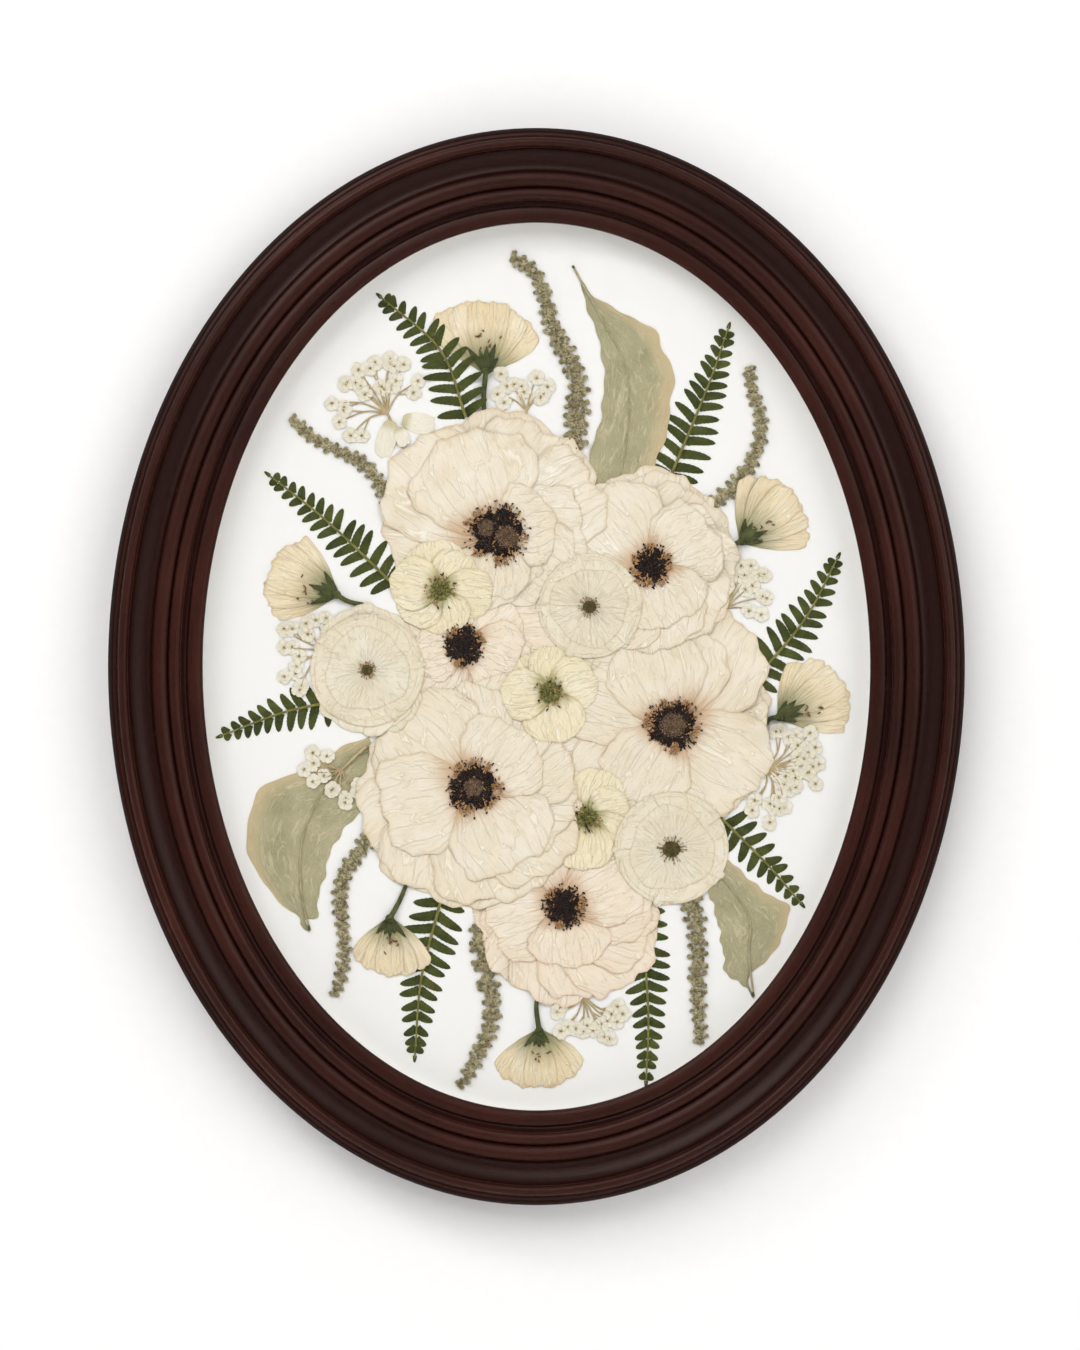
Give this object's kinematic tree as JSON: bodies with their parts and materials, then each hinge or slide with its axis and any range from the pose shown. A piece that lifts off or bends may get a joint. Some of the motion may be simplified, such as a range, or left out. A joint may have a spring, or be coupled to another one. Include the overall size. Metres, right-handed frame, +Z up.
{
  "type": "pressed flower frame",
  "caption": "Oval dark wood wall frame with moulded profile; pressed cream flowers, ferns, leaves and seed strands lie on white board behind clear glass.",
  "frame": {"origin": "middle notch of the sawtooth hanger, on the wall plane, at the top of the back", "axes": "+Z up along the oval's long axis, +X to the right seen from the front, +Y into the wall; the front faces -Y"},
  "size_m": [0.3852, 0.0306, 0.4844],
  "materials": {
    "dark_wood": "satin lacquer over dark espresso stain",
    "clear_glass": "clear, low reflection",
    "spacer_board": "matt white strip",
    "mount_paper": "matt white paper board",
    "backing_fibreboard": "raw brown fibreboard",
    "hanger_steel": "brass-tinted plated steel",
    "point_steel": "dark blued steel",
    "bumper_rubber": "translucent soft bumper",
    "anemone_petal": "matt pressed petal, cream with fine creases",
    "ranunculus_petal": "matt pressed petals in layers, cream",
    "hellebore_petal": "matt pressed petal, pale yellow",
    "bud_petal": "matt pressed petal, yellow cream, with green calyx",
    "fern_frond": "matt dried leaf, dark olive green",
    "amaranth_strand": "crumpled dried bracts, khaki",
    "grey_leaf": "matt dried leaf, grey green",
    "umbel_floret": "tiny dried florets, off white"
  },
  "bodies": {
    "root": {"amaranth_bottom_left": "amaranth_strand", "amaranth_bottom_right": "amaranth_strand", "amaranth_lower_left": "amaranth_strand", "amaranth_top": "amaranth_strand", "amaranth_upper_left": "amaranth_strand", "amaranth_upper_right": "amaranth_strand", "anemone_bottom": "anemone_petal", "anemone_lower_left": "anemone_petal", "anemone_middle": "anemone_petal", "anemone_right": "anemone_petal", "anemone_top": "anemone_petal", "anemone_upper_right": "anemone_petal", "backing_board": "backing_fibreboard", "bud_bottom": "bud_petal", "bud_bottom_left": "bud_petal", "bud_left": "bud_petal", "bud_right": "bud_petal", "bud_top_left": "bud_petal", "bud_top_right": "bud_petal", "bumper_left": "bumper_rubber", "bumper_right": "bumper_rubber", "fern_bottom_left": "fern_frond", "fern_bottom_right": "fern_frond", "fern_left": "fern_frond", "fern_lower_right": "fern_frond", "fern_right": "fern_frond", "fern_top_left": "fern_frond", "fern_top_right": "fern_frond", "fern_upper_left": "fern_frond", "framers_point_1": "point_steel", "framers_point_2": "point_steel", "framers_point_3": "point_steel", "framers_point_4": "point_steel", "framers_point_5": "point_steel", "framers_point_6": "point_steel", "glass": "clear_glass", "hanger": "hanger_steel", "hanger_nail_left": "hanger_steel", "hanger_nail_right": "hanger_steel", "hellebore_lower": "hellebore_petal", "hellebore_middle": "hellebore_petal", "hellebore_upper": "hellebore_petal", "leaf_left": "grey_leaf", "leaf_right": "grey_leaf", "leaf_top": "grey_leaf", "moulding": "dark_wood", "mount_board": "mount_paper", "ranunculus_left": "ranunculus_petal", "ranunculus_middle": "ranunculus_petal", "ranunculus_right": "ranunculus_petal", "spacer": "spacer_board", "umbel_bottom": "umbel_floret", "umbel_left": "umbel_floret", "umbel_lower_left": "umbel_floret", "umbel_right": "umbel_floret", "umbel_top": "umbel_floret", "umbel_top_left": "umbel_floret", "umbel_upper_right": "umbel_floret"}
  },
  "joints": []
}
